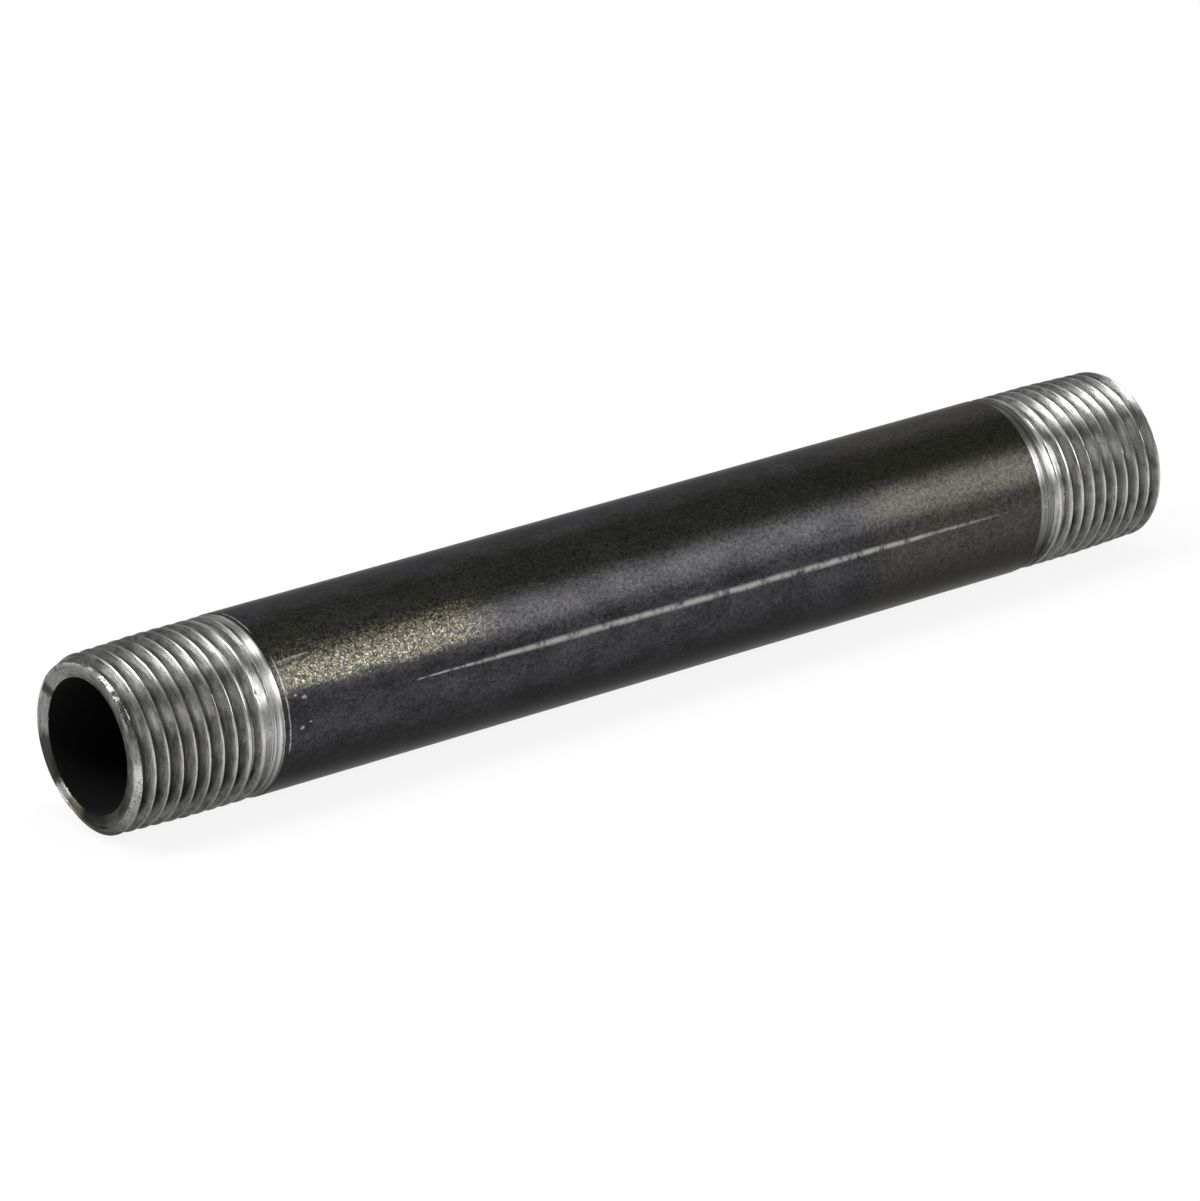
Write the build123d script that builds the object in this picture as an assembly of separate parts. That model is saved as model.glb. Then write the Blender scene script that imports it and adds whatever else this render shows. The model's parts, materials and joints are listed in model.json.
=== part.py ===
from build123d import *
import math
import os

# A black steel pipe nipple, nominal 1/2 in by 6 in, Schedule 40, with a right-hand taper pipe
# thread at both ends. Millimetres. The pipe lies along X, +Z is up, and the origin is the centre
# of the bore at mid-length. Angles round the pipe run from the front (-Y) towards the top (+Z).

INCH = 25.4

# The pipe.
pipe_length = 6 * INCH
pipe_od = 0.840 * INCH
wall_thickness = 0.109 * INCH

# The taper pipe thread, cut to the standard's own rules.
threads_per_inch = 14
taper_on_diameter = 1 / 16
flank_angle = 30.0
thread_depth_in_pitches = 0.8
vanish_turns = 3.47
front_exit_angle = 263.0
back_exit_angle = 171.5

# The finished ends.
bevel_size = 0.66
face_land = 0.55
ream_depth = 0.35

# The lengthwise weld and the black finish.
weld_zone_width = 2.4
weld_angle = 9.0
coating_thickness = 0.06

# How far a cutter stands clear of what it cuts.
crest_clearance = 0.03
lead_in_turns = 1.0
run_past = 1.2
block_margin = 1.0

# Sizes that follow from the ones above.
pipe_radius = pipe_od / 2
bore_radius = pipe_radius - wall_thickness
pitch = INCH / threads_per_inch
rise_per_mm = taper_on_diameter / 2
thread_depth = thread_depth_in_pitches * pitch
end_pitch_diameter = pipe_od - (0.05 * pipe_od / INCH + 1.1) * pitch
effective_length = (0.8 * pipe_od / INCH + 6.8) * pitch
thread_length = effective_length + vanish_turns * pitch
end_crest_radius = (end_pitch_diameter + thread_depth) / 2
end_root_radius = (end_pitch_diameter - thread_depth) / 2
face_radius = end_crest_radius - bevel_size
ream_radius = face_radius - face_land
crest_meets_pipe = (pipe_radius - end_crest_radius) / rise_per_mm

# The flat at root and crest is what a full V of this pitch has left over.
tan_flank = math.tan(math.radians(flank_angle))
root_flat = (pitch - 2 * thread_depth * tan_flank) / 2


def end_profile():
    """Outline points of one end, as (distance from the end face, radius), bore to barrel."""
    bevel_top = end_crest_radius + bevel_size * rise_per_mm
    return [
        (ream_depth, bore_radius),
        (0, ream_radius),
        (0, face_radius),
        (bevel_size, bevel_top),
        (crest_meets_pipe, pipe_radius),
    ]


def turned_pipe():
    """The pipe with both ends turned to the thread's crest cone, bevelled and reamed."""
    half = pipe_length / 2
    front = [(distance - half, radius) for distance, radius in end_profile()]
    back = [(half - distance, radius) for distance, radius in reversed(end_profile())]
    outline = Polyline(*front, *back, close=True)
    return revolve(make_face(outline), Axis.X)


def root_radius_at(distance):
    """Radius of the thread's root at a distance from the end face, on the standard taper."""
    return end_root_radius + distance * rise_per_mm


def groove_path():
    """The groove's root line along Z, on one steady taper from before the end to past the thread."""
    start = -lead_in_turns * pitch
    count = math.ceil((thread_length + run_past - start) / pitch)
    cone_angle = math.degrees(math.atan(rise_per_mm))
    slant_pitch = pitch / math.cos(math.radians(cone_angle))
    turns = []
    for index in range(count):
        distance = start + index * pitch
        turn = Helix(slant_pitch, pitch, root_radius_at(distance), cone_angle=cone_angle)
        turns.append(Rot(0, 0, 360 * distance / pitch) * Pos(0, 0, distance) * turn)
    return Wire([turn.edge() for turn in turns])


def vanish_cone():
    """What the die's chamfered teeth leave: a cone rising from full depth to the pipe's outside."""
    full_depth_radius = root_radius_at(effective_length)
    slope = (pipe_radius - full_depth_radius) / (thread_length - effective_length)
    low = effective_length - run_past
    high = thread_length + 2 * run_past
    outline = Polyline(
        (0, low),
        (full_depth_radius + slope * (low - effective_length), low),
        (full_depth_radius + slope * (high - effective_length), high),
        (0, high),
        close=True,
    )
    return revolve(Plane.XZ * make_face(outline), Axis.Z)


def groove_section():
    """The V between two crests, where the groove's path starts."""
    distance = -lead_in_turns * pitch
    root = root_radius_at(distance)
    depth = thread_depth + crest_clearance
    half_root = root_flat / 2
    half_mouth = half_root + depth * tan_flank
    corners = [
        (root, distance - half_root),
        (root, distance + half_root),
        (root + depth, distance + half_mouth),
        (root + depth, distance - half_mouth),
    ]
    section = Face(Wire.make_polygon([(x, 0, z) for x, z in corners], close=True))
    return Rot(0, 0, 360 * distance / pitch) * section


def thread_groove(exit_angle):
    """The thread's groove, laid on the front end (-X) with its root leaving at an angle."""
    groove = sweep(groove_section(), path=groove_path(), is_frenet=True) - vanish_cone()
    return Pos(-pipe_length / 2, 0, 0) * Rot(-90 - exit_angle, 0, 0) * Rot(0, 90, 0) * groove


def threaded_pipe():
    """The whole steel body: the turned pipe less the groove at each end."""
    front_groove = thread_groove(front_exit_angle)
    back_groove = Rot(0, 0, 180) * thread_groove(back_exit_angle)
    return turned_pipe() - front_groove - back_groove


def weld_block():
    """A block round the lengthwise weld zone, through one side of the wall."""
    low = bore_radius - block_margin
    high = pipe_radius + block_margin
    block = Box(pipe_length + 2 * block_margin, weld_zone_width, high - low)
    return Rot(90 - weld_angle, 0, 0) * Pos(0, 0, (low + high) / 2) * block


def black_coating():
    """The finish on the barrel, between the two threads' run-outs."""
    barrel_length = pipe_length - 2 * thread_length
    outside = Cylinder(pipe_radius + coating_thickness, barrel_length)
    inside = Cylinder(pipe_radius, barrel_length)
    return Rot(0, 90, 0) * (outside - inside)


steel = threaded_pipe()
nodes = {
    "pipe_wall": steel - weld_block(),
    "weld_seam": steel & weld_block(),
    "black_coating": black_coating(),
}

os.makedirs("parts", exist_ok=True)
for name, solid in nodes.items():
    export_step(solid, f"parts/{name}.step")
    print(f"{name}: {solid.volume:.1f} mm3")
print(f"bore radius {bore_radius:.4f}, barrel radius {pipe_radius + coating_thickness:.4f}")
print(f"thread length {thread_length:.3f}, barrel {pipe_length - 2 * thread_length:.3f}")
print(f"end face from radius {ream_radius:.3f} to {face_radius:.3f}")
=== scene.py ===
# %% [markdown]
# # A black steel pipe nipple
# The nipple is a short pipe with a taper thread cut on each end. Its steel is bare and bright
# where the die cut it, and black between. The construction model gives the sizes and the place of
# everything, so this lesson only models the surfaces that the eye sees and gives them a finish.

# %% Load the frame
import math

import bmesh
import bpy
import numpy as np
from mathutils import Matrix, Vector
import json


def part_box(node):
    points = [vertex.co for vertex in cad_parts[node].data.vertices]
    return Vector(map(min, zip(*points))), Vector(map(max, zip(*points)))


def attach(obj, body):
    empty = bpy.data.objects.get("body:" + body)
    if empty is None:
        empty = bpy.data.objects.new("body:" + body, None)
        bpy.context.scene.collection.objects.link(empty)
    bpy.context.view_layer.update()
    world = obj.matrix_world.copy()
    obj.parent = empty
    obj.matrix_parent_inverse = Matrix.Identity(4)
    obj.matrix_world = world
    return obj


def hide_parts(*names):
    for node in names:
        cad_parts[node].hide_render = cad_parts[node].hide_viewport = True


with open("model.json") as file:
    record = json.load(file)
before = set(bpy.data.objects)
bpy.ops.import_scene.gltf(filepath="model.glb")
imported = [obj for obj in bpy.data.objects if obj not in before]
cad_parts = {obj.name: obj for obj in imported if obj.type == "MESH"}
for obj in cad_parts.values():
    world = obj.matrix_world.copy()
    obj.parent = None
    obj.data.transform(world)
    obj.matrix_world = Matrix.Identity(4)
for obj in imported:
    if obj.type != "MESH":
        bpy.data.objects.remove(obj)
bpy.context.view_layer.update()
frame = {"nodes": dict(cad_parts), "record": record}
mounts = {mount["name"]: mount for mount in frame["record"]["mounts"]}
print("nodes:", ", ".join(sorted(frame["nodes"])))

# %% [markdown]
# ## Sizes
# A thread is a set of cones. The taper is 1 in 16 on the diameter, so every radius grows by 1/32 of
# the distance from the end. The outside of the pipe, the bore and the length are read from the
# frame, and the thread's own numbers follow from its pitch, as they do in the thread's standard.

# %% Name the sizes, in millimetres
MM = 0.001
steel_low, steel_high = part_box("pipe_wall")
coat_low, coat_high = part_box("black_coating")
half_length = steel_high.x / MM
pipe_radius = steel_high.z / MM
coat_radius = coat_high.z / MM
bore_radius = mounts["bore"]["dims"]["r_mm"]

pitch = 25.4 / 14
taper = 1 / 32
tan_flank = math.tan(math.radians(30))
thread_depth = 0.8 * pitch
end_pitch_radius = pipe_radius - (0.05 * 2 * pipe_radius / 25.4 + 1.1) * pitch / 2
root_at_end = end_pitch_radius - thread_depth / 2
crest_at_end = end_pitch_radius + thread_depth / 2
root_half_flat = (pitch / 2 - thread_depth * tan_flank) / 2
vanish_turns = 3.47
thread_length = (0.8 * 2 * pipe_radius / 25.4 + 6.8 + vanish_turns) * pitch

# Where the thread fades, in distances from the end: the vanishing turns, then the last shallow cone.
run_out_start = 15.0
run_out_end = 18.5
band_start = 18.15
band_end = 19.45
band_depth = 0.22

# The finished end: its bevel and flat ring, and how far the mesh runs past the thread and the ream.
bevel_size = 0.66
face_land = 0.55
face_radius = crest_at_end - bevel_size
ream_radius = face_radius - face_land
past_thread = 0.9
past_ream = 1.2
on_cut_within = 0.002
print(f"crest {crest_at_end:.3f}, root {root_at_end:.3f}, thread length {thread_length:.2f} mm")

# %% [markdown]
# ## Small helpers
# Blender's operators act on whatever is selected, so every step starts by selecting nothing. The
# angle round the pipe runs from the front (-Y) over the top (+Z).


# %% Helpers for objects and edit mode
def begin():
    """Leaves edit mode and selects nothing."""
    if bpy.context.object and bpy.context.object.mode != "OBJECT":
        bpy.ops.object.mode_set(mode="OBJECT")
    bpy.ops.object.select_all(action="DESELECT")


def only(piece):
    begin()
    piece.select_set(True)
    bpy.context.view_layer.objects.active = piece


def apply_modifier(piece, kind, **settings):
    """Adds one modifier, sets it up and applies it."""
    only(piece)
    modifier = piece.modifiers.new(kind.title(), kind)
    for key, value in settings.items():
        setattr(modifier, key, value)
    bpy.ops.object.modifier_apply(modifier=modifier.name)


def face_outwards(piece):
    """Makes the faces agree, then turns them all over if the piece is inside out."""
    only(piece)
    bpy.ops.object.mode_set(mode="EDIT")
    bpy.ops.mesh.select_all(action="SELECT")
    bpy.ops.mesh.normals_make_consistent(inside=False)
    if bmesh.from_edit_mesh(piece.data).calc_volume(signed=True) < 0:
        bpy.ops.mesh.flip_normals()
    bpy.ops.object.mode_set(mode="OBJECT")


def coordinates(piece):
    flat = np.empty(len(piece.data.vertices) * 3)
    piece.data.vertices.foreach_get("co", flat)
    return flat.reshape(-1, 3)


def set_coordinates(piece, points):
    piece.data.vertices.foreach_set("co", np.asarray(points, float).ravel())
    piece.data.update()


def around(distance, radius, degrees):
    """Points in metres from a distance along X, a radius and an angle, in millimetres and degrees."""
    turn = np.radians(degrees)
    return np.stack([distance, -radius * np.cos(turn), radius * np.sin(turn)], -1) * MM


def angle_of(point):
    return math.degrees(math.atan2(point[2], -point[1]))


# %% [markdown]
# ## Wear without randomness
# Ragged metal needs irregular numbers that come out the same each time. A sum of a few sine waves
# with seeded phases gives a smooth wobble along any line, and clipping it below a level leaves only
# its rare peaks, which make good nicks and burrs.


# %% A seeded wobble
def wobble(values, seed, lengths, period=None):
    """A smooth irregular wave from about -1 to 1. A period makes it close on itself."""
    draw = np.random.default_rng(seed)
    total = np.zeros(np.shape(values))
    for length in lengths:
        if period:
            cycles = max(1, round(period / length)) / period
        else:
            cycles = 1 / length
        for bend in (1.0, 1.618):
            rate = round(cycles * bend * period) / period if period else cycles * bend
            total = total + np.sin(2 * np.pi * (rate * values + draw.random()))
    return total / (1.5 * len(lengths))


# %% [markdown]
# ## One pitch of thread
# The thread is one long groove, so its surface is one narrow strip wound round the pipe. The strip
# is as wide as one pitch, from crest to root to crest. First the strip's section is drawn point by
# point with extrude. A Screw modifier then winds it, which is how most threads are made in Blender.

# %% Draw the section and wind it
flank_shares = (0.03, 0.12, 0.3, 0.5, 0.7, 0.88, 0.97)
columns_each_side = len(flank_shares) + 3
column_count = 2 * columns_each_side + 1
steps_per_turn = 168
first_turn = -0.62
plain_margin = 1.1
turn_count = math.ceil((thread_length + plain_margin) / pitch - first_turn)


def draw_chain(name, points):
    """A chain of edges: a plane merged to one point, then extruded from point to point.

    Leaving edit mode after the merge makes Blender number the points in the order they are drawn.
    """
    begin()
    bpy.ops.mesh.primitive_plane_add(size=MM, location=(0, 0, 0))
    chain = bpy.context.object
    chain.name = name
    bpy.ops.object.mode_set(mode="EDIT")
    bpy.ops.mesh.merge(type="CENTER")
    bpy.ops.object.mode_set(mode="OBJECT")
    bpy.ops.object.mode_set(mode="EDIT")
    bpy.ops.transform.translate(value=points[0])
    for start, stop in zip(points, points[1:]):
        bpy.ops.mesh.extrude_vertices_move(TRANSFORM_OT_translate={"value": stop - start})
    bpy.ops.object.mode_set(mode="OBJECT")
    return chain


def wound_strip(name):
    """The one-pitch section wound into a screw surface, one turn for each pitch."""
    offsets = np.linspace(-pitch / 2, pitch / 2, column_count)
    depths = pipe_radius - thread_depth * (1 - np.abs(offsets) / (pitch / 2))
    points = [Vector((x * MM, 0, r * MM)) for x, r in zip(offsets, depths)]
    strip = draw_chain(name, points)
    apply_modifier(
        strip, "SCREW", axis="X", angle=2 * math.pi, screw_offset=pitch * MM, steps=steps_per_turn,
        render_steps=steps_per_turn, iterations=turn_count, use_normal_calculate=False,
    )
    return strip


# %% [markdown]
# ## Taper, run-out and bevel
# The wound strip is a plain cylinder of thread. The die makes a taper, and its chamfered teeth cut
# the last turns shallower, down to a clean shallow cone where only the last tooth touched the pipe.
# Each point of the strip knows which turn and which column it is on, so a formula can put it right.


# %% Shape the strip
def crest_line(distance):
    return np.minimum(crest_at_end + distance * taper, pipe_radius)


def root_line(distance):
    """Root radius: the taper, then the cone that the die's chamfered teeth leave."""
    full_depth = root_at_end + run_out_start * taper
    slope = (pipe_radius - full_depth) / (run_out_end - run_out_start)
    vanish = full_depth + (distance - run_out_start) * slope
    return np.minimum(np.maximum(root_at_end + distance * taper, vanish), pipe_radius)


def run_out_band(distance, radii):
    """The last tooth's shallow cone, a clean bright band between the thread and the black."""
    cone = pipe_radius - band_depth * np.clip((band_end - distance) / (band_end - band_start), 0, 1)
    return np.where(distance > band_start, np.minimum(radii, cone), radii)


def section_at(along, seed):
    """Offsets and radii of every column, for each place along the groove's root line."""
    apex = root_at_end + along * taper - root_half_flat / tan_flank
    root = root_line(along) + 0.012 * wobble(along, seed, (0.31, 0.07))
    half_root = np.minimum((root - apex) * tan_flank, pitch / 2 - 0.25)
    offsets = np.zeros((len(along), column_count))
    radii = np.zeros((len(along), column_count))
    middle = columns_each_side
    for side in (-1, 1):
        crest = crest_line(along + side * pitch / 2)
        edge = np.clip((crest - apex) * tan_flank, half_root + 0.12, pitch / 2 - 0.03)
        crest_depth = np.maximum(crest - root, 0)
        stations = [(half_root * 0.7, root)]
        for share in flank_shares:
            stations.append((half_root + share * (edge - half_root), root + share * crest_depth))
        stations.append((edge + 0.3 * (pitch / 2 - edge), crest - 0.012))
        stations.append((np.full_like(edge, pitch / 2), crest))
        for number, (offset, radius) in enumerate(stations, start=1):
            offsets[:, middle + side * number] = side * offset
            radii[:, middle + side * number] = np.minimum(radius, crest)
    radii[:, middle] = np.minimum(root, pipe_radius)
    return offsets, radii


def torn_crests(along, radii, seed):
    """Short stretches where the die tore the crest instead of cutting it clean."""
    column = np.arange(column_count) - columns_each_side
    crest_along = along[:, None] + np.sign(column) * pitch / 2
    tear = np.clip(wobble(crest_along * 31, seed, (2.1, 5.3, 0.9)) - 0.5, 0, 1)
    tear = tear * np.clip((thread_length - crest_along) / pitch, 0, 1)
    return radii - 0.25 * tear * np.abs(column / columns_each_side) ** 12


def bevelled(distance, degrees, radii, seed):
    """The outside bevel at the end: clean underneath, ragged over the top where the thread starts."""
    ragged = np.clip(np.cos(np.radians(degrees - 62)) * 1.6 - 0.5, 0, 1)
    rough_edge = 0.12 * ragged * wobble(degrees, seed, (5, 9, 23), period=360)
    lean = 0.1 * np.cos(np.radians(degrees - 200))
    cone = face_radius + lean + rough_edge + np.maximum(distance, -0.2) * 1.0
    return np.minimum(radii, np.where(distance < 1.2, cone, radii))


def shape_thread(strip, exit_angle, seed):
    """Moves each point of the wound strip to its place on the front end's thread."""
    steps = len(strip.data.vertices) // column_count
    turns = first_turn + np.arange(steps) / steps_per_turn
    along = turns * pitch
    degrees = (exit_angle - 360 * turns)[:, None]
    offsets, radii = section_at(along, seed)
    radii = torn_crests(along, radii, seed + 1)
    distance = along[:, None] + offsets
    radii = run_out_band(distance, bevelled(distance, degrees, radii, seed + 2))
    points = around(distance - half_length, radii, np.broadcast_to(degrees, radii.shape))
    set_coordinates(strip, points)


# %% [markdown]
# ## From a strip to an end of pipe
# Neighbouring turns now touch along the crests, so merging doubles turns the strip into one sheet.
# Two bisects cut it square: one at the end face and one just past the thread. The cut edge at the
# face is then extruded inwards, over the flat face and down the reamed cone, to the bore.


# %% Close the end
def select_open_edges(piece, on_cut):
    """In edit mode, selects only the open edges whose two ends both pass on_cut(x in millimetres)."""
    mesh = bmesh.from_edit_mesh(piece.data)
    for part in (mesh.faces, mesh.edges, mesh.verts):
        for item in part:
            item.select_set(False)
    for edge in mesh.edges:
        edge.select_set(edge.is_boundary and all(on_cut(vert.co.x / MM) for vert in edge.verts))
    mesh.select_flush(True)
    bmesh.update_edit_mesh(piece.data)


def cut_square(piece, distance, **keep):
    """Cuts the piece across the pipe at a place along X, in millimetres."""
    bpy.ops.mesh.select_all(action="SELECT")
    place = (distance * MM, 0, 0)
    bpy.ops.mesh.bisect(plane_co=place, plane_no=(1, 0, 0), threshold=1e-7, **keep)


def extrude_ring(piece, place):
    """Extrudes the selected edges, then puts each new point where place(degrees) says."""
    bpy.ops.mesh.extrude_edges_move()
    mesh = bmesh.from_edit_mesh(piece.data)
    for vert in mesh.verts:
        if vert.select:
            degrees = angle_of(vert.co)
            vert.co = Vector(around(*place(degrees, vert.co), degrees))
    bmesh.update_edit_mesh(piece.data)


def ream_floor(degrees):
    """How deep the reamer went: it ran off centre, so one side is cut deeper."""
    return 0.25 - 0.15 * math.cos(math.radians(degrees - 10))


def close_end(piece, seed):
    """Merges the turns, cuts the strip square at both ends and closes it from the face to the bore."""
    face = -half_length

    def mouth_wave(degrees):
        return 0.05 * float(wobble(np.array(degrees), seed, (17, 41, 9), period=360))

    only(piece)
    bpy.ops.object.mode_set(mode="EDIT")
    bpy.ops.mesh.select_all(action="SELECT")
    bpy.ops.mesh.remove_doubles(threshold=0.0005 * MM)
    cut_square(piece, face + thread_length + past_thread, clear_outer=True)
    cut_square(piece, face, clear_inner=True)
    select_open_edges(piece, lambda x: abs(x - face) < on_cut_within)
    extrude_ring(piece, lambda d, p: (face, (math.hypot(p.y, p.z) / MM + ream_radius) / 2))
    extrude_ring(piece, lambda d, p: (face, ream_radius + mouth_wave(d) + 0.02))
    extrude_ring(piece, lambda d, p: (face + 0.02, ream_radius + mouth_wave(d) - 0.04))
    extrude_ring(
        piece, lambda d, p: (face + 0.92 * ream_floor(d), bore_radius + 0.06 + 0.02 * mouth_wave(d))
    )
    extrude_ring(piece, lambda d, p: (face + ream_floor(d) + 0.04, bore_radius))
    extrude_ring(piece, lambda d, p: (face + past_ream, bore_radius))
    bpy.ops.object.mode_set(mode="OBJECT")
    return piece


def threaded_end(name, exit_angle, seed):
    end = wound_strip(name)
    shape_thread(end, exit_angle, seed)
    return close_end(end, seed + 7)


front_end = threaded_end("front_end", 263.0, 11)
back_end = threaded_end("back_end", 171.5, 47)
only(back_end)
bpy.ops.object.mode_set(mode="EDIT")
bpy.ops.mesh.select_all(action="SELECT")
bpy.ops.transform.rotate(value=math.pi, orient_axis="Z", center_override=(0, 0, 0))
bpy.ops.object.mode_set(mode="OBJECT")
print("points in each end:", len(front_end.data.vertices), len(back_end.data.vertices))

# %% [markdown]
# ## One pipe
# The two ends are joined into one mesh. The outside and the bore are each closed by bridging the
# two open edge loops that face each other, so the pipe is one closed skin, as the steel is.


# %% Join the ends
def bridge_between(piece, distance):
    """Bridges the open loops at plus and minus a distance from mid-length."""
    select_open_edges(piece, lambda x: abs(abs(x) - distance) < on_cut_within)
    bpy.ops.mesh.bridge_edge_loops()


only(front_end)
back_end.select_set(True)
bpy.ops.object.join()
steel_pipe = bpy.context.object
steel_pipe.name = "steel_pipe"
bpy.ops.object.mode_set(mode="EDIT")
bridge_between(steel_pipe, half_length - thread_length - past_thread)
bridge_between(steel_pipe, half_length - past_ream)
bpy.ops.object.mode_set(mode="OBJECT")
face_outwards(steel_pipe)
bpy.ops.object.shade_smooth_by_angle(angle=math.radians(38))


def measure(piece):
    """Prints the open edges, triangles and volume of a piece."""
    mesh = bmesh.new()
    mesh.from_mesh(piece.data)
    open_edges = sum(edge.is_boundary or not edge.is_manifold for edge in mesh.edges)
    triangles = sum(len(face.verts) - 2 for face in mesh.faces)
    volume = mesh.calc_volume(signed=True) / MM**3
    print(f"{piece.name}: {open_edges} open edges, {triangles} triangles, {volume:.0f} mm3")
    mesh.free()


measure(steel_pipe)

# %% [markdown]
# ## The black skin
# The black finish is a skin a few hundredths of a millimetre thick. The die scraped it off at
# both ends, so its edges wander. It starts as an open cylinder, is subdivided along its length,
# gets its wandering edges from a formula, and is given its wall by a Solidify modifier.

# %% Make the skin
skin_thickness = 0.05
skin_sides = 192
skin_rings = 150


def skin_edge(degrees, middle, lean, high_side, seed):
    """Distance from the end at which the black starts, all the way round."""
    ragged = 0.05 * wobble(degrees, seed, (5, 11, 23), period=360)
    return middle + lean * np.cos(np.radians(degrees - high_side)) + ragged


def make_skin():
    begin()
    bpy.ops.mesh.primitive_cylinder_add(
        vertices=skin_sides, radius=pipe_radius * MM, depth=2 * half_length * MM,
        end_fill_type="NOTHING", rotation=(0, math.pi / 2, 0),
    )
    skin = bpy.context.object
    skin.name = "black_skin"
    bpy.ops.object.transform_apply(location=True, rotation=True, scale=True)
    bpy.ops.object.mode_set(mode="EDIT")
    mesh = bmesh.from_edit_mesh(skin.data)
    for face in mesh.faces:
        face.select_set(False)
    for edge in mesh.edges:
        edge.select_set(abs(edge.verts[0].co.x - edge.verts[1].co.x) > half_length * MM)
    bmesh.update_edit_mesh(skin.data)
    bpy.ops.mesh.select_mode(type="EDGE")
    bpy.ops.mesh.subdivide(number_cuts=skin_rings)
    bpy.ops.mesh.select_mode(type="VERT")
    bpy.ops.object.mode_set(mode="OBJECT")
    return skin


def shape_skin(skin):
    points = coordinates(skin) / MM
    degrees = np.degrees(np.arctan2(points[:, 2], -points[:, 1]))
    share = np.clip(points[:, 0] / (2 * half_length) + 0.5, 0, 1)
    share = share - 0.07 * np.sin(2 * np.pi * share)
    front = skin_edge(degrees, 19.6, 0.12, -30, 5) - half_length
    back = half_length - skin_edge(degrees, 19.9, 0.5, -10, 6)
    distance = front + share * (back - front)
    dents = 0.006 * wobble(distance + degrees * 0.21, 8, (9, 3.7)) - 0.006
    radius = coat_radius - 0.008 + dents * np.clip(4 * share * (1 - share) * 8, 0, 1)
    set_coordinates(skin, around(distance, radius, degrees))


black_skin = make_skin()
shape_skin(black_skin)
apply_modifier(black_skin, "SOLIDIFY", thickness=skin_thickness * MM, offset=-1, use_even_offset=True)
face_outwards(black_skin)
bpy.ops.object.shade_smooth_by_angle(angle=math.radians(40))
measure(black_skin)

# %% [markdown]
# ## Shader maths as Python
# A material is a graph of nodes. Long sums are easier to read as Python, so this small class wraps
# a socket and turns each operator into a Math node. Every other node comes from `add`.


# %% The socket class and the node maker
class Value:
    """A number that varies over a surface."""

    def __init__(self, tree, socket):
        self.tree = tree
        self.socket = socket

    def math(self, operation, *others, clamp=False):
        inputs = dict(enumerate((self, *others)))
        return add(self.tree, "ShaderNodeMath", {"operation": operation, "use_clamp": clamp}, inputs)

    def __add__(self, other):
        return self.math("ADD", other)

    def __sub__(self, other):
        return self.math("SUBTRACT", other)

    def __rsub__(self, other):
        return constant(self.tree, other).math("SUBTRACT", self)

    def __mul__(self, other):
        return self.math("MULTIPLY", other)

    def __truediv__(self, other):
        return self.math("DIVIDE", other)

    def __abs__(self):
        return self.math("ABSOLUTE")

    __radd__ = __add__
    __rmul__ = __mul__

    def clamp(self):
        return self.math("ADD", 0.0, clamp=True)

    def at_least(self, other):
        return self.math("MAXIMUM", other)

    def at_most(self, other):
        return self.math("MINIMUM", other)

    def ramp(self, low, high):
        """0 below low, 1 above high, and smooth between. low may be the larger."""
        return add(
            self.tree, "ShaderNodeMapRange", {"interpolation_type": "SMOOTHSTEP"},
            {"Value": self, "From Min": low, "From Max": high},
        )


def constant(tree, number):
    return add(tree, "ShaderNodeMath", {"operation": "ADD"}, {0: number, 1: 0.0})


def find(sockets, key):
    if isinstance(key, int):
        return sockets[key]
    return next(s for s in sockets if key in (s.identifier, s.name))


def add(tree, kind, settings=None, inputs=None, output=0):
    """Adds a node: its settings first, then the values or links of its sockets.

    output names the socket to hand back, and is None for a node that has none.
    """
    node = tree.nodes.new(kind)
    for key, value in (settings or {}).items():
        setattr(node, key, value)
    for key, value in (inputs or {}).items():
        socket = find(node.inputs, key)
        if isinstance(value, Value):
            tree.links.new(value.socket, socket)
        else:
            socket.default_value = value
    return None if output is None else Value(tree, find(node.outputs, output))


def blend(tree, share, low, high):
    """A colour from low to high."""
    low = low if isinstance(low, Value) else (*low, 1.0)
    high = high if isinstance(high, Value) else (*high, 1.0)
    inputs = {"Factor_Float": share, "A_Color": low, "B_Color": high}
    return add(tree, "ShaderNodeMix", {"data_type": "RGBA"}, inputs, "Result_Color")


def noise(tree, point, stretch, detail=4.0, roughness=0.55):
    """Noise in a space stretched along the pipe and across it, in cycles per millimetre."""
    scaled = add(
        tree, "ShaderNodeVectorMath", {"operation": "MULTIPLY"}, {0: point, 1: stretch}
    )
    inputs = {"Vector": scaled, "Scale": 1.0, "Detail": detail, "Roughness": roughness}
    return add(tree, "ShaderNodeTexNoise", {}, inputs)


def new_material(name):
    material = bpy.data.materials.new(name)
    material.use_nodes = True
    material.node_tree.nodes.clear()
    return material, material.node_tree


def surface_point(tree):
    """The point on the surface in millimetres, and its parts: along, radius and angle."""
    where = add(tree, "ShaderNodeTexCoord", output="Object")
    point = add(tree, "ShaderNodeVectorMath", {"operation": "SCALE"}, {0: where, "Scale": 1 / MM})
    along = add(tree, "ShaderNodeSeparateXYZ", {}, {0: point}, "X")
    side = add(tree, "ShaderNodeSeparateXYZ", {}, {0: point}, "Y")
    up = add(tree, "ShaderNodeSeparateXYZ", {}, {0: point}, "Z")
    radius = (side * side + up * up).math("SQRT")
    degrees = up.math("ARCTAN2", side * -1.0) * (180 / math.pi)
    return point, along, radius, degrees


def painted_underside_shade(tree, degrees, depth):
    """Painted shade: 1 over the front and top, falling by depth towards the lower front, where less
    light gets in.
    """
    facing_down = ((degrees + 70.0) * (math.pi / 180)).math("COSINE")
    return 1.0 - depth * facing_down.ramp(0.25, 0.85)


def scaled_color(tree, color, share):
    """A colour made darker or lighter by a number."""
    return add(tree, "ShaderNodeVectorMath", {"operation": "SCALE"}, {0: color, "Scale": share})


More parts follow.
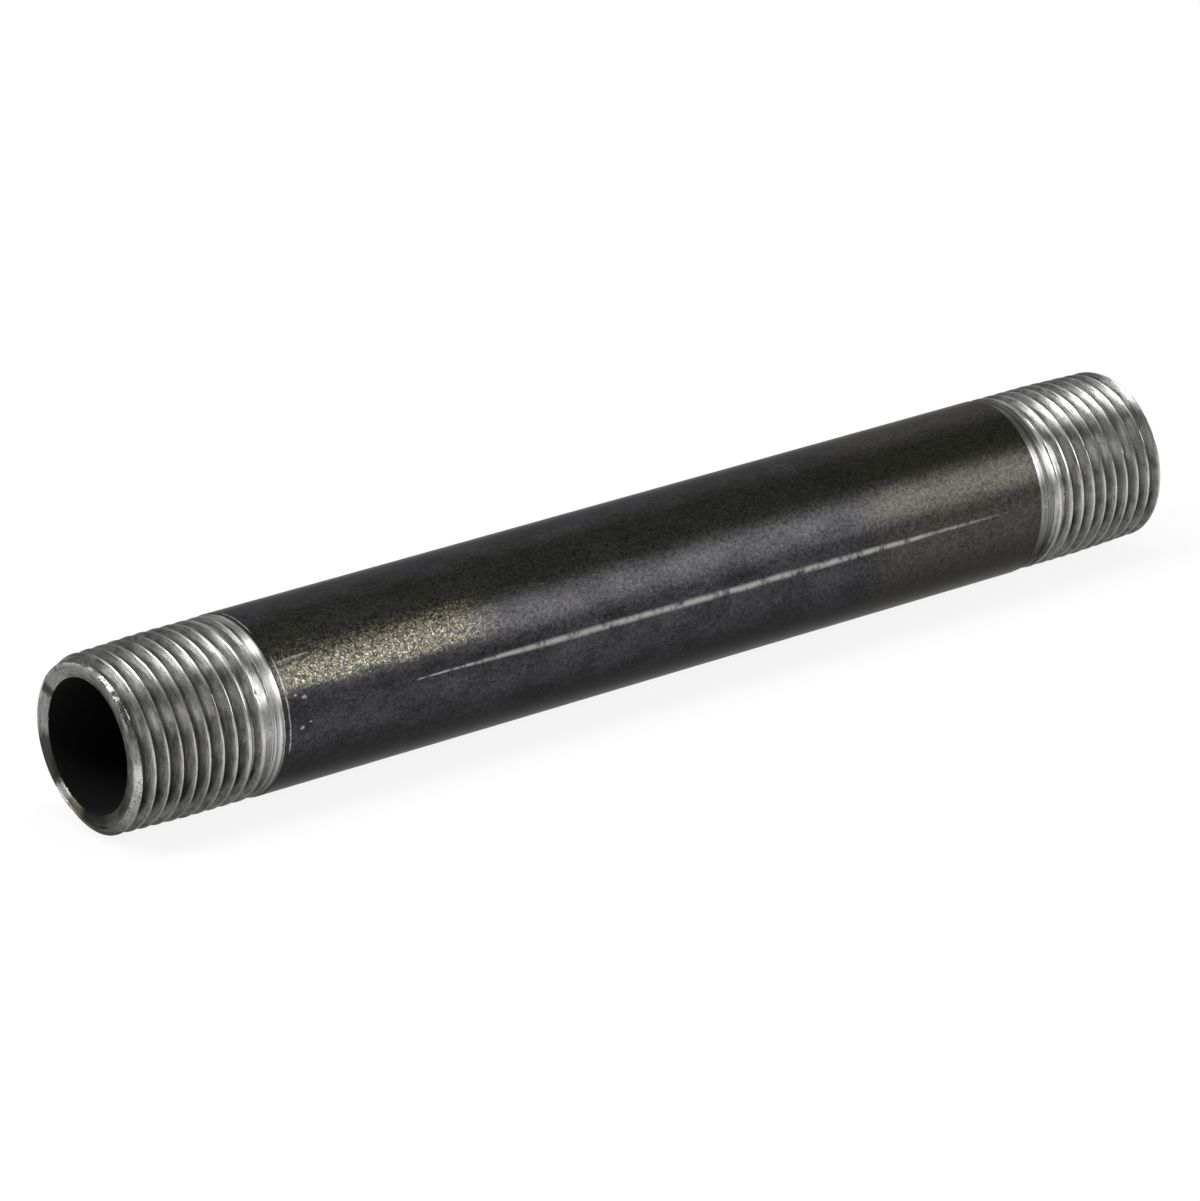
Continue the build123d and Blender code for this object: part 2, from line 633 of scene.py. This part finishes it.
def finish_surface(tree, fixed, color, roughness, metallic, height, bump_distance, bump_strength):
    """A Principled shader with a bump, wired to the material's output."""
    relief = {"Strength": bump_strength, "Distance": bump_distance * MM, "Height": height}
    bump = add(tree, "ShaderNodeBump", {}, relief)
    inputs = {"Base Color": color, "Roughness": roughness, "Metallic": metallic, "Normal": bump}
    inputs.update(fixed)
    shader = add(tree, "ShaderNodeBsdfPrincipled", {}, inputs)
    add(tree, "ShaderNodeOutputMaterial", {}, {"Surface": shader}, None)


# %% [markdown]
# ## Bare cut steel
# A die leaves rings of fine tool marks, so the noise is squeezed along the pipe and stretched round
# it. The roots are darker and duller, from cutting oil and dirt and from painted shade. The crests
# are lighter, from rubbed wear and a painted highlight, with painted glints on the side that faces
# the lamps, and the run-out band gets a painted highlight over the front. The height of a point
# between root and crest comes from its radius and the thread's taper.


# %% The steel's material
def window(value, low_start, low_end, high_start, high_end):
    """1 between low_end and high_start, and 0 outside low_start and high_end."""
    return value.ramp(low_start, low_end) * value.ramp(high_end, high_start)


def mouth_colors(tree, color, from_end, radius, degrees, grain):
    """The reamed mouth and the bevel, set by angle round the pipe: painted shade in the dark
    stretches, which also hold a dark notch, and in the lower stretch; painted highlights in the bright
    and brassy stretches and on the bevel's facet; and a torn dark stretch on the bevel.
    """
    ragged = degrees + (grain - 0.5) * 16.0
    at_end = from_end.ramp(0.75, 0.55)
    mouth = at_end * radius.ramp(ream_radius + 0.40, ream_radius + 0.30)
    # Dark and lower stretches are painted shade; the bright and brassy stretches and the facet are
    # painted highlights.
    notch = window(ragged, 143.0, 147.0, 152.0, 156.0)
    notch_and_painted_shade = window(ragged, -178.0, -168.0, -138.0, -132.0).at_least(notch)
    painted_mouth_highlight = window(ragged, -134.0, -128.0, -119.0, -114.0)
    brassy_highlight = window(ragged, -116.0, -112.0, -103.0, -97.0)
    painted_under_shade = window(ragged, -98.0, -94.0, -72.0, -62.0)
    color = blend(tree, notch_and_painted_shade * mouth * 0.9, color, (0.04, 0.039, 0.035))
    color = blend(tree, painted_mouth_highlight * mouth, color, (0.95, 0.94, 0.92))
    color = blend(tree, brassy_highlight * mouth * 0.9, color, (0.70, 0.64, 0.44))
    color = blend(tree, painted_under_shade * mouth * 0.6, color, (0.08, 0.078, 0.07))
    on_bevel = at_end * radius.ramp(ream_radius + 0.05, ream_radius + 0.30)
    painted_bevel_glint = window(ragged, -56.0, -40.0, -4.0, 12.0) * grain.ramp(0.36, 0.56)
    torn = window(ragged, 30.0, 40.0, 72.0, 84.0) * grain.ramp(0.52, 0.44)
    color = blend(tree, painted_bevel_glint * on_bevel * 0.75, color, (0.85, 0.85, 0.83))
    return blend(tree, torn * on_bevel * 0.9, color, (0.03, 0.03, 0.028))


def cut_steel():
    material, tree = new_material("cut_steel")
    point, along, radius, degrees = surface_point(tree)
    from_end = half_length - abs(along)
    crest_radius = (from_end * taper + crest_at_end).at_most(pipe_radius)
    below_crest = crest_radius - radius
    marks = noise(tree, point, (13.0, 0.5, 0.5), 5.0, 0.7)
    grain = noise(tree, point, (4.0, 4.0, 4.0), 5.0, 0.7)
    blotch = noise(tree, point, (0.4, 0.5, 0.5), 3.0, 0.55)
    # Lighter crests: rubbed wear and a painted highlight along the crest lines.
    rubbed_and_highlit = below_crest.ramp(0.22, 0.03) * (from_end + grain * 0.4).ramp(0.5, 1.1)
    # Darker roots: cutting oil and dirt, and painted shade down in the groove.
    root_dirt_and_shade = below_crest.ramp(0.75, 1.25) * blotch.ramp(0.3, 0.6)
    # Painted glints on the crests, only round the side that faces the lamps.
    painted_crest_glints = grain.ramp(0.60, 0.66) * rubbed_and_highlit * window(degrees, -20.0, 5.0, 60.0, 85.0)
    run_out = (from_end + (grain - 0.5) * 0.3).ramp(band_start - 0.15, band_start + 0.1)
    rings = noise(tree, point, (3.2, 0.03, 0.03), 3.0, 0.75).ramp(0.36, 0.58)
    # Painted highlight: the run-out band is lighter over the front.
    painted_band_highlight = window(degrees, 10.0, 22.0, 36.0, 50.0)
    band_tone = (0.10 + rings * 0.75 + painted_band_highlight * 0.6) * (1.0 - 0.72 * along.ramp(-10.0, 10.0))
    pits = grain.ramp(0.38, 0.32) * blotch.ramp(0.42, 0.6)
    streaks = marks.ramp(0.34, 0.66) * 0.5 + grain.ramp(0.3, 0.7) * 0.25
    tone = (streaks + blotch.ramp(0.38, 0.62) * 0.3).clamp()
    color = blend(tree, tone, (0.10, 0.10, 0.098), (0.54, 0.536, 0.523))
    color = blend(tree, root_dirt_and_shade * 0.5, color, (0.05, 0.05, 0.048))
    color = blend(tree, rubbed_and_highlit * marks.ramp(0.25, 0.6) * 0.85, color, (0.72, 0.72, 0.705))
    band_color = blend(tree, band_tone, (0.06, 0.06, 0.058), (0.78, 0.78, 0.76))
    color = blend(tree, run_out * 0.9, color, band_color)
    color = blend(tree, painted_crest_glints, color, (0.95, 0.95, 0.93))
    color = blend(tree, pits, color, (0.012, 0.012, 0.011))
    color = mouth_colors(tree, color, from_end, radius, degrees, grain)
    # Painted shade: the steel is darkened towards the lower front.
    color = scaled_color(tree, color, painted_underside_shade(tree, degrees, 0.62))
    rough = 0.30 + 0.16 * (marks - 0.5) + 0.3 * pits
    relief = marks * 0.5 + grain * 0.35 - pits
    edge_tint = (0.35, 0.35, 0.35, 1.0)
    fixed = {"IOR": 1.5, "Specular Tint": edge_tint}
    finish_surface(tree, fixed, color, rough, 1.0, relief, 0.025, 0.6)
    return material


# %% [markdown]
# ## The bore
# Nothing cleans the inside of the pipe. It keeps the dull black scale from the mill, and takes
# almost no light. Its colour is made darker than scale, almost black, as painted shade for the
# inside of the tube.


# %% The bore's material
def bore_scale_and_shade():
    material, tree = new_material("bore_scale_and_shade")
    point, along, radius, degrees = surface_point(tree)
    crust = noise(tree, point, (0.9, 1.4, 1.4), 6.0, 0.6)
    # Near-black: mill scale, darkened further as painted shade for the inside of the tube.
    color = blend(tree, crust, (0.0015, 0.0015, 0.0015), (0.006, 0.0055, 0.005))
    finish_surface(tree, {"IOR": 1.3}, color, crust * 0.1 + 0.85, 0.0, crust, 0.1, 0.4)
    return material


# %% [markdown]
# ## The black finish
# Lacquer over mill scale reflects only about a twentieth of the light, like a very dark metal. The
# tint of that reflection changes along the pipe to a warm brown at the far end. A brassy patch near
# the front thread, on the side that faces the front panel, is a painted highlight, a darker olive band
# over the top is painted shade, and the lower front is darkened as painted shade. The lengthwise
# weld shows as a thin line where the black is rubbed off, and the thin bright arcs past the front
# edge are partly scraped black and partly a painted highlight on that edge.


# %% The skin's material
def weld_line(tree, point, along, degrees):
    """Where the black is rubbed off along the weld, which drifts a little round the pipe."""
    line_angle = 10.0 - 0.0325 * (along + 36.2)
    wander = noise(tree, point, (0.16, 0.02, 0.02), 3.0, 0.6) - 0.5
    off_line = abs((degrees - line_angle) * (pipe_radius * math.pi / 180) + wander * 0.25)
    broken = noise(tree, point, (0.7, 0.5, 0.5), 4.0, 0.7)
    width = window(along, -38.4, -16.0, 20.0, 57.0) * 0.26 + 0.09
    strength = window(along, -38.4, -37.2, 36.0, 54.0) * broken.ramp(0.30, 0.55)
    return strength * (off_line / width).ramp(1.6, 0.1)


def chips(tree, point, along, degrees):
    """Small torn chips in the skin close to the front thread: distance along, angle and size."""
    jagged = noise(tree, point, (2.6, 2.6, 2.6), 4.0, 0.7) - 0.5
    total = None
    for place, angle, size in (
        (-54.2, 1.0, 0.30), (-53.0, 3.5, 0.20), (-53.4, 19.0, 0.34), (-54.6, 21.5, 0.2),
        (-51.2, 24.5, 0.16),
    ):
        arc = (degrees - angle) * (pipe_radius * math.pi / 180)
        far = ((along - place) * (along - place) * 0.5 + arc * arc * 1.6).math("SQRT")
        one = (far + jagged * size * 2.4).ramp(size, size * 0.3)
        total = one if total is None else total.at_least(one)
    return total * 0.75


def scraped_and_highlit_arcs(tree, point, along, degrees):
    """Thin bright lines just past the skin's front edge, partly black scraped off by the last tooth
    and partly a painted highlight on that edge.
    """
    jitter = noise(tree, point, (0.9, 0.9, 0.9), 4.0, 0.6) - 0.5
    broken = noise(tree, point, (2.4, 1.4, 1.4), 4.0, 0.7).ramp(0.36, 0.52)
    from_end = along + half_length + jitter * 0.22
    low_arc = abs(from_end - 20.35).ramp(0.13, 0.03) * window(degrees, -16.0, -8.0, 42.0, 52.0)
    high_arc = abs(from_end - 19.95).ramp(0.16, 0.04) * window(degrees, 66.0, 74.0, 96.0, 102.0)
    scratch_angle = 44.0 + (along + 54.0) * 0.4
    off_scratch = abs(degrees + jitter * 1.5 - scratch_angle)
    scratch = off_scratch.ramp(0.9, 0.2) * window(along, -56.0, -55.0, -52.5, -50.5) * 0.7
    return (low_arc.at_least(high_arc) * broken).at_least(scratch * broken)


def black_finish():
    material, tree = new_material("black_finish")
    point, along, radius, degrees = surface_point(tree)
    fine = noise(tree, point, (4.2, 4.2, 4.2), 4.0, 0.65)
    speck = noise(tree, point, (1.7, 2.2, 2.2), 4.0, 0.65)
    cloud = noise(tree, point, (0.16, 0.3, 0.3), 4.0, 0.55)
    streak = noise(tree, point, (0.07, 0.9, 0.9), 3.0, 0.5)
    wavy_degrees = degrees + (cloud - 0.5) * 14.0 + (speck - 0.5) * 6.0
    # Brassy painted highlight, only on the side that faces the front panel.
    brassy_highlight = window(along, -57.5, -54.5, -33.0, -24.0) * window(wavy_degrees, 22.0, 28.0, 40.0, 58.0)
    warm = window(along, 27.0, 34.0, 54.0, 60.0)
    # Olive painted shade: the black is darker over the top, where it faces away from the lamps.
    olive_painted_shade = window(degrees + (cloud - 0.5) * 20.0, 36.0, 52.0, 70.0, 84.0)
    color = blend(tree, cloud.ramp(0.3, 0.7), (0.040, 0.039, 0.042), (0.066, 0.064, 0.069))
    color = blend(tree, warm * 0.9, color, (0.074, 0.069, 0.060))
    color = blend(tree, olive_painted_shade * 0.8, color, (0.040, 0.041, 0.031))
    color = blend(tree, brassy_highlight * speck.ramp(0.36, 0.62), color, (0.120, 0.112, 0.080))
    color = blend(tree, brassy_highlight * fine.ramp(0.54, 0.66), color, (0.42, 0.39, 0.29))
    color = blend(tree, fine.ramp(0.62, 0.74) * 0.4, color, (0.16, 0.155, 0.15))
    mottle = 0.15 + speck.ramp(0.25, 0.75) * 0.75 + fine.ramp(0.25, 0.75) * 0.75
    # Painted shade: the black is darkened towards the lower front, over its mottle.
    color = scaled_color(tree, color, mottle * painted_underside_shade(tree, degrees, 0.66))
    # Bare steel at the weld and the chips, and the painted edge highlight of the arcs.
    bare_and_highlit = weld_line(tree, point, along, degrees).at_least(chips(tree, point, along, degrees))
    bare_and_highlit = bare_and_highlit.at_least(scraped_and_highlit_arcs(tree, point, along, degrees))
    color = blend(tree, bare_and_highlit, color, (0.40, 0.395, 0.38))
    rough = 0.35 + 0.10 * (cloud - 0.5) + 0.12 * (speck - 0.5) + 0.1 * bare_and_highlit
    relief = fine * 0.45 + speck * 0.5 + streak * 0.25
    fixed = {"IOR": 1.5, "Specular Tint": (0.6, 0.6, 0.6, 1.0)}
    finish_surface(tree, fixed, color, rough, 0.95, relief, 0.03, 0.6)
    return material


# %% Put the finishes on
def dress(piece, *materials):
    piece.data.materials.clear()
    for material in materials:
        piece.data.materials.append(material)


dress(steel_pipe, cut_steel(), bore_scale_and_shade())
for polygon in steel_pipe.data.polygons:
    centre = polygon.center / MM
    in_bore = math.hypot(centre.y, centre.z) < bore_radius + 0.03
    polygon.material_index = int(in_bore)
dress(black_skin, black_finish())

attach(steel_pipe, "root")
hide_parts("pipe_wall", "weld_seam")
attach(black_skin, "root")
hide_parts("black_coating")

# %% [markdown]
# ## Floor, light and camera
# The nipple lies on a pale floor. A soft panel to the front right draws the long highlight on the
# barrel. A long strip overhead, leaning left, catches only what tilts towards the left: the thread's
# flanks and the run-out. A weak panel behind lifts the top edge. The room itself stays dim, because
# dark surroundings are what make metal look like metal. The paper looks white to the camera and in
# reflections through Light Path, so no lamp has to be strong enough to bleach it.


# %% The floor
def pale_paper():
    material, tree = new_material("pale_paper")
    path = add(tree, "ShaderNodeLightPath", output="Is Camera Ray")
    glossy = Value(tree, path.socket.node.outputs["Is Glossy Ray"])
    clear = Value(tree, path.socket.node.outputs["Is Transmission Ray"])
    seen = (path + glossy + clear).clamp() * 0.88
    paper = add(tree, "ShaderNodeBsdfDiffuse", {}, {"Color": (0.93, 0.93, 0.93, 1.0)})
    glow = add(tree, "ShaderNodeEmission", {}, {"Color": (1.0, 1.0, 1.0, 1.0), "Strength": 1.0})
    mixed = add(tree, "ShaderNodeMixShader", {}, {0: seen, 1: paper, 2: glow})
    add(tree, "ShaderNodeOutputMaterial", {}, {"Surface": mixed}, None)
    return material


begin()
bpy.ops.mesh.primitive_plane_add(size=5.0, location=(0, 0, coat_low.z))
floor = bpy.context.object
floor.name = "paper_floor"
bpy.ops.object.transform_apply(location=True, rotation=True, scale=True)
floor.data.materials.append(pale_paper())


# %% The lights
def soft_panel(name, direction, distance, size, power, color=(1.0, 1.0, 1.0)):
    """A square area light at a direction from the nipple, turned to face it."""
    data = bpy.data.lights.new(name, "AREA")
    data.shape = "RECTANGLE"
    data.size, data.size_y = size
    data.energy = power
    data.color = color
    lamp = bpy.data.objects.new(name, data)
    bpy.context.scene.collection.objects.link(lamp)
    place = Vector(direction).normalized() * distance
    lamp.location = place
    lamp.rotation_euler = (-place).to_track_quat("-Z", "Y").to_euler()
    return lamp


soft_panel("front_right_panel", (0.575, -0.66, 0.50), 0.9, (0.55, 0.45), 3.1)
soft_panel("left_strip", (-0.40, 0.15, 0.90), 0.9, (0.22, 1.65), 12.0)
soft_panel("back_panel", (0.575, 0.70, 0.42), 0.9, (0.7, 0.6), 0.6)

world = bpy.data.worlds.new("dim_room")
bpy.context.scene.world = world
world.use_nodes = True
world.node_tree.nodes["Background"].inputs["Color"].default_value = (0.17, 0.17, 0.173, 1.0)
world.node_tree.nodes["Background"].inputs["Strength"].default_value = 1.0

# %% The camera
azimuth = math.radians(-38.225)
elevation = math.radians(21.456)
camera_distance = 0.871278
camera_target = Vector((-0.003413, 0.0, -0.000203))
back = Vector((
    math.sin(azimuth) * math.cos(elevation),
    -math.cos(azimuth) * math.cos(elevation),
    math.sin(elevation),
))
camera_data = bpy.data.cameras.new("camera")
camera_data.sensor_width = 36.0
camera_data.lens = 223.54
camera = bpy.data.objects.new("camera", camera_data)
bpy.context.scene.collection.objects.link(camera)
camera.location = camera_target + back * camera_distance
camera.rotation_euler = (-back).to_track_quat("-Z", "Y").to_euler()
bpy.context.scene.camera = camera
bpy.context.scene.view_settings.view_transform = "Standard"
